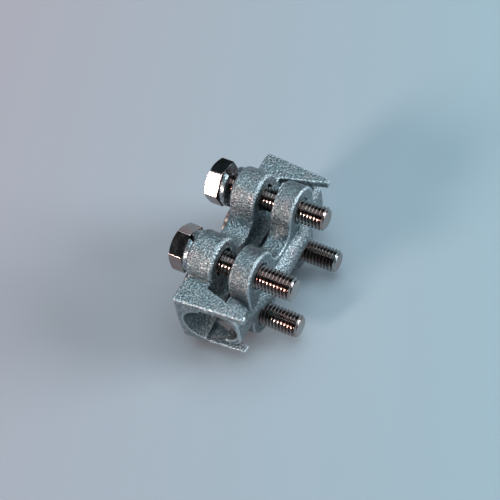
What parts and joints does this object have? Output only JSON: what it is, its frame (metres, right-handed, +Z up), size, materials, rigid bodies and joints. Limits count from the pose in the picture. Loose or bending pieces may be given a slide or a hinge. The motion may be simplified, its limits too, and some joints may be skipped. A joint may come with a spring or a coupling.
{
  "type": "bolted strain clamp",
  "caption": "Two-jaw bolted clamp for an overhead conductor, with flared hoods at both ends, a ribbed keeper, hexagon bolts and spring washers.",
  "frame": {"origin": "middle of the conductor groove in the clamp body, on the groove's axis", "axes": "+Y along the conductor, +X along the bolts from head to tip, +Z up across the two rows of bolts"},
  "size_m": [0.0549, 0.08, 0.0478],
  "materials": {
    "galvanised_body": "hot-dip galvanised over a grainy casting, dull and sparkling",
    "galvanised_keeper": "hot-dip galvanised over a grainy casting, dull and sparkling",
    "plated_bolt": "bright plated steel, close to a mirror",
    "spring_steel": "plated spring steel with a grey sheen"
  },
  "bodies": {
    "clamp": {"clamp_body": "galvanised_body", "washer_upper_front": "spring_steel", "washer_upper_rear": "spring_steel", "washer_lower_front": "spring_steel", "washer_lower_rear": "spring_steel"},
    "keeper": {"keeper": "galvanised_keeper"},
    "bolt_upper_front": {"bolt_upper_front": "plated_bolt"},
    "bolt_upper_rear": {"bolt_upper_rear": "plated_bolt"},
    "bolt_lower_front": {"bolt_lower_front": "plated_bolt"},
    "bolt_lower_rear": {"bolt_lower_rear": "plated_bolt"}
  },
  "joints": [
    {"name": "turn_upper_front", "type": "hinge", "parent": "clamp", "child": "bolt_upper_front", "pos_m": [0, -0.01715, 0.0137], "axis": [1, 0, 0], "range_deg": [-1000, 1380]},
    {"name": "turn_upper_rear", "type": "hinge", "parent": "clamp", "child": "bolt_upper_rear", "pos_m": [0, 0.01715, 0.0137], "axis": [1, 0, 0], "range_deg": [-1000, 1380]},
    {"name": "turn_lower_front", "type": "hinge", "parent": "clamp", "child": "bolt_lower_front", "pos_m": [0, -0.01715, -0.0137], "axis": [1, 0, 0], "range_deg": [-1000, 1380]},
    {"name": "turn_lower_rear", "type": "hinge", "parent": "clamp", "child": "bolt_lower_rear", "pos_m": [0, 0.01715, -0.0137], "axis": [1, 0, 0], "range_deg": [-1000, 1380]},
    {"name": "keeper_slide", "type": "slide", "parent": "clamp", "child": "keeper", "axis": [1, 0, 0], "range_m": [-0.0055, 0.004]}
  ],
  "couplings": [
    {"joint": "turn_upper_front", "follows": "keeper_slide", "rad_per_m": -4188.8},
    {"joint": "turn_upper_rear", "follows": "keeper_slide", "rad_per_m": -4188.8},
    {"joint": "turn_lower_front", "follows": "keeper_slide", "rad_per_m": -4188.8},
    {"joint": "turn_lower_rear", "follows": "keeper_slide", "rad_per_m": -4188.8}
  ]
}
